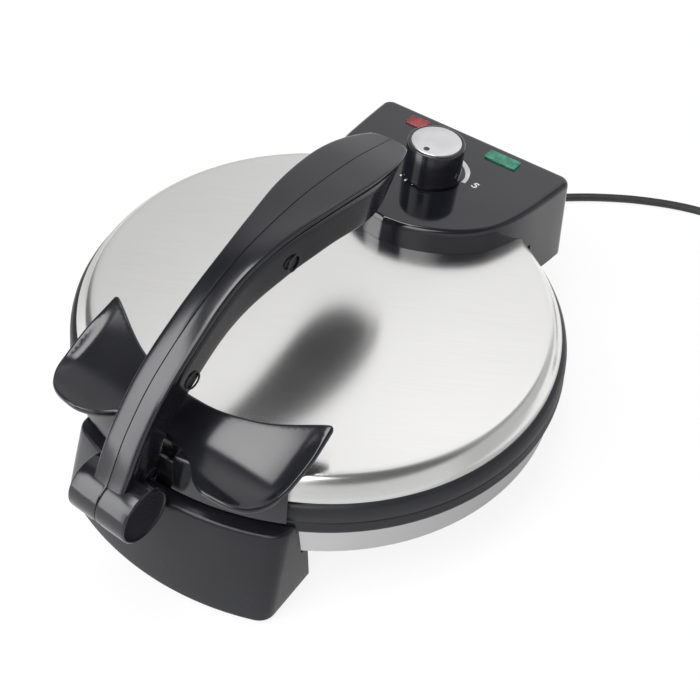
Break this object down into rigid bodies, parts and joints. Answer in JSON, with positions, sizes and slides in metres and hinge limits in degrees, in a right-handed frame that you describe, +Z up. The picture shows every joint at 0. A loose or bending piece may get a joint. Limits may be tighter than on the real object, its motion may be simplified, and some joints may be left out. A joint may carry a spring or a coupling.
{
  "type": "electric flatbread maker",
  "caption": "Countertop flatbread cooker: round heated plates, hinged steel lid with a rear control box and knob, and a long cranked lever at the front that presses the lid down.",
  "frame": {"origin": "on the worktop, under the middle of the whole object without its cord", "axes": "+Z up, +Y from the lever pivot at the front towards the lid hinge at the rear, +X to the right of a person who stands in front"},
  "size_m": [0.4435, 0.5791, 0.153],
  "materials": {
    "satin_black_plastic": "satin moulded",
    "gloss_black_plastic": "glossy moulded",
    "brushed_stainless": "fine circular brushing",
    "zinc_steel": "zinc plated",
    "cast_plate": "cast, dark non-stick coat",
    "heater_sheath": "oxidised sheath",
    "bare_aluminium": "mill finish",
    "silver_cap": "satin silver",
    "brass": "plain",
    "ceramic": "glazed ceramic",
    "wire_insulation": "sleeved",
    "lamp_glass": "clear",
    "red_lens": "translucent",
    "green_lens": "translucent",
    "foot_rubber": "matte",
    "cord_rubber": "satin"
  },
  "bodies": {
    "root": {"base_pan": "brushed_stainless", "lower_ring": "satin_black_plastic", "lower_plate": "cast_plate", "lower_heater": "heater_sheath", "lower_heat_shield": "bare_aluminium", "front_bracket": "gloss_black_plastic", "lever_lug": "zinc_steel", "rear_bracket": "gloss_black_plastic", "pan_screws": "zinc_steel", "rubber_feet": "foot_rubber", "terminal_block": "ceramic", "base_wiring": "wire_insulation", "strain_relief": "cord_rubber", "cord_run": "cord_rubber", "cord_coil": "cord_rubber", "cord_tail": "cord_rubber", "plug_body": "cord_rubber", "plug_pins": "brass"},
    "lid": {"lid_shell": "brushed_stainless", "upper_ring": "satin_black_plastic", "upper_plate": "cast_plate", "upper_heater": "heater_sheath", "upper_heat_shield": "bare_aluminium", "lid_handle": "gloss_black_plastic", "handle_screws": "zinc_steel", "control_housing": "gloss_black_plastic", "housing_screws": "zinc_steel", "hinge_plate": "zinc_steel", "hinge_pins": "zinc_steel", "hinge_screws": "zinc_steel", "thermostat_body": "ceramic", "red_lens": "red_lens", "green_lens": "green_lens", "indicator_lamps": "lamp_glass", "thermal_fuse": "brass", "lid_wiring": "wire_insulation"},
    "knob_body": {"thermostat_shaft": "brass", "knob": "gloss_black_plastic", "knob_cap": "silver_cap"},
    "lever": {"lever_left_shell": "gloss_black_plastic", "lever_right_shell": "gloss_black_plastic", "lever_screws": "zinc_steel", "pivot_pin": "zinc_steel"}
  },
  "joints": [
    {"name": "lid_hinge", "type": "hinge", "parent": "root", "child": "lid", "pos_m": [0, 0.15675, 0.0475], "axis": [-1, 0, 0], "range_deg": [0, 80]},
    {"name": "lever_pivot", "type": "hinge", "parent": "root", "child": "lever", "pos_m": [0, -0.15325, 0.0597], "axis": [1, 0, 0], "range_deg": [0, 148]},
    {"name": "knob_turn", "type": "hinge", "parent": "lid", "child": "knob_body", "pos_m": [0, 0.11425, 0.0912], "axis": [0, 0, -1], "range_deg": [0, 285]}
  ],
  "couplings": [
    {"joint": "lever_pivot", "follows": "lid_hinge", "ratio": 1.85}
  ]
}
